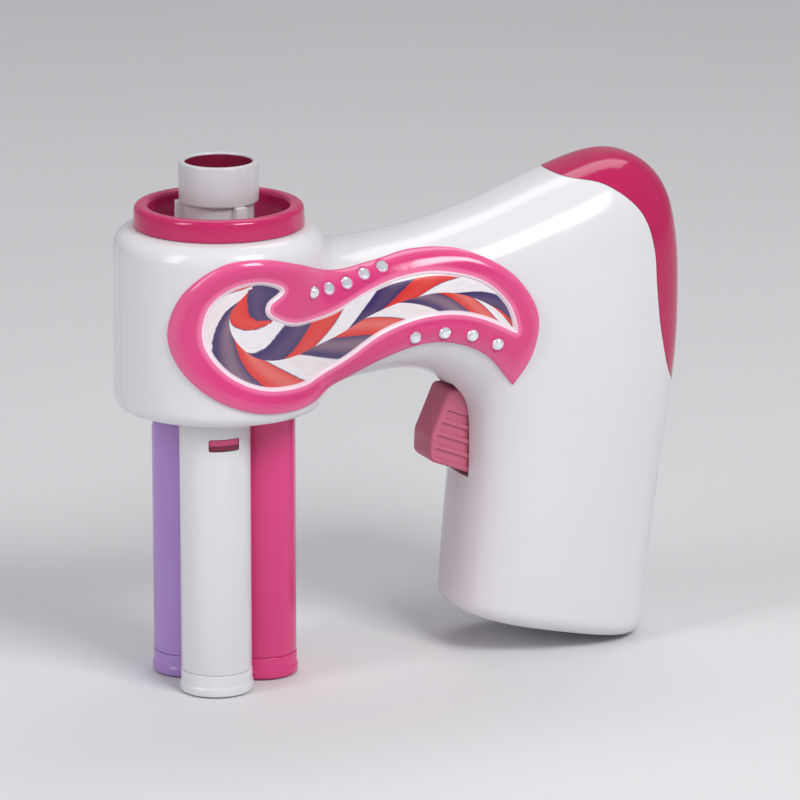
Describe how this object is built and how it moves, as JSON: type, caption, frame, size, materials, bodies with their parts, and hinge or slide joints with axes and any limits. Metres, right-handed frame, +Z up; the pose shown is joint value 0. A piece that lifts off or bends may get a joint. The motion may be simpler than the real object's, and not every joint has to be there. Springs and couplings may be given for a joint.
{
  "type": "automatic hair braider",
  "caption": "Pistol-shaped battery toy that twists strands of hair into a braid: round rotor head with hanging hair tubes, curved neck, handle and trigger.",
  "frame": {"origin": "under the middle of the whole, on the surface that the braider stands on", "axes": "+Z up, along the head's axis; +X from the head to the handle; -Y the side that carries the pink trim"},
  "size_m": [0.138, 0.05, 0.122],
  "materials": {
    "white_plastic": "glossy injection-moulded white",
    "pink_plastic": "glossy bright pink",
    "deep_pink_plastic": "glossy deep pink",
    "dusty_pink_plastic": "satin dusty pink",
    "purple_plastic": "glossy lilac",
    "grey_plastic": "satin light silver grey",
    "natural_plastic": "natural acetal, matt",
    "black_plastic": "matt black",
    "plait_print": null,
    "gem": "clear faceted plastic, high gloss",
    "screw_steel": "zinc plated",
    "shaft_steel": "ground",
    "motor_steel": "plated can",
    "contact_nickel": "nickel plated spring steel",
    "cell_wrap": "plain dark sleeve",
    "brass": "turned brass"
  },
  "bodies": {
    "housing": {"shell_near": "white_plastic", "shell_far": "white_plastic", "rear_spine": "pink_plastic", "head_collar": "deep_pink_plastic", "swoosh_trim": "pink_plastic", "plait_panel": "plait_print", "gem_studs": "gem", "housing_screws": "screw_steel", "rotor_bearing": "natural_plastic", "gear_plate_lower": "natural_plastic", "gear_plate_upper": "natural_plastic", "gear_axles": "shaft_steel", "motor_can": "motor_steel", "motor_end_cap": "natural_plastic", "cell_tray": "black_plastic", "cell_front": "cell_wrap", "cell_rear": "cell_wrap", "contact_bridge": "contact_nickel", "contact_terminals": "contact_nickel", "contact_springs": "contact_nickel", "switch_body": "black_plastic", "trigger_pin": "shaft_steel", "trigger_spring": "contact_nickel"},
    "rotor": {"rotor": "pink_plastic", "rotor_drum": "pink_plastic", "rotor_spigots": "pink_plastic", "ring_gear": "natural_plastic", "hair_nozzle": "grey_plastic", "tube_pink": "pink_plastic", "tube_purple": "purple_plastic", "tube_white": "white_plastic", "foot_pink": "pink_plastic", "foot_purple": "purple_plastic", "foot_white": "white_plastic"},
    "idler": {"idler_gear": "natural_plastic"},
    "first_reduction": {"first_reduction_gear": "natural_plastic"},
    "second_reduction": {"second_reduction_gear": "natural_plastic"},
    "motor_rotor": {"motor_shaft": "shaft_steel", "motor_pinion": "brass"},
    "trigger": {"trigger": "dusty_pink_plastic"},
    "plunger": {"switch_plunger": "black_plastic"},
    "door": {"battery_door": "white_plastic", "door_screw": "screw_steel"}
  },
  "joints": [
    {"name": "rotor_spin", "type": "hinge", "parent": "housing", "child": "rotor", "pos_m": [-0.04464, 0.0007, 0.08], "axis": [0, 0, 1], "continuous": true},
    {"name": "idler_spin", "type": "hinge", "parent": "housing", "child": "idler", "pos_m": [-0.01424, 0.0007, 0.08], "axis": [0, 0, 1], "continuous": true},
    {"name": "first_spin", "type": "hinge", "parent": "housing", "child": "first_reduction", "pos_m": [0.00016, 0.0007, 0.08], "axis": [0, 0, 1], "continuous": true},
    {"name": "second_spin", "type": "hinge", "parent": "housing", "child": "second_reduction", "pos_m": [0.01536, 0.0007, 0.08], "axis": [0, 0, 1], "continuous": true},
    {"name": "motor_spin", "type": "hinge", "parent": "housing", "child": "motor_rotor", "pos_m": [0.02936, 0.0007, 0.08], "axis": [0, 0, 1], "continuous": true},
    {"name": "trigger_pull", "type": "hinge", "parent": "housing", "child": "trigger", "pos_m": [0.02056, 0.0007, 0.0598], "axis": [0, -1, 0], "range_deg": [0, 12], "stiffness_Nm_per_rad": 0.3, "springref_deg": -8.59, "deforming": ["trigger_spring"]},
    {"name": "plunger_slide", "type": "slide", "parent": "housing", "child": "plunger", "axis": [0.9903, 0, -0.1392], "range_m": [0, 0.0017]},
    {"name": "door_swing", "type": "hinge", "parent": "housing", "child": "door", "pos_m": [0.03669, 0.019, 0.01134], "axis": [-0.9903, 0, 0.1392], "range_deg": [0, 75]}
  ],
  "couplings": [
    {"joint": "idler_spin", "follows": "rotor_spin", "ratio": -1.9231},
    {"joint": "first_spin", "follows": "rotor_spin", "ratio": 5},
    {"joint": "second_spin", "follows": "rotor_spin", "ratio": -14},
    {"joint": "motor_spin", "follows": "rotor_spin", "ratio": 40.444},
    {"joint": "plunger_slide", "follows": "trigger_pull", "m_per_rad": 0.0073}
  ]
}
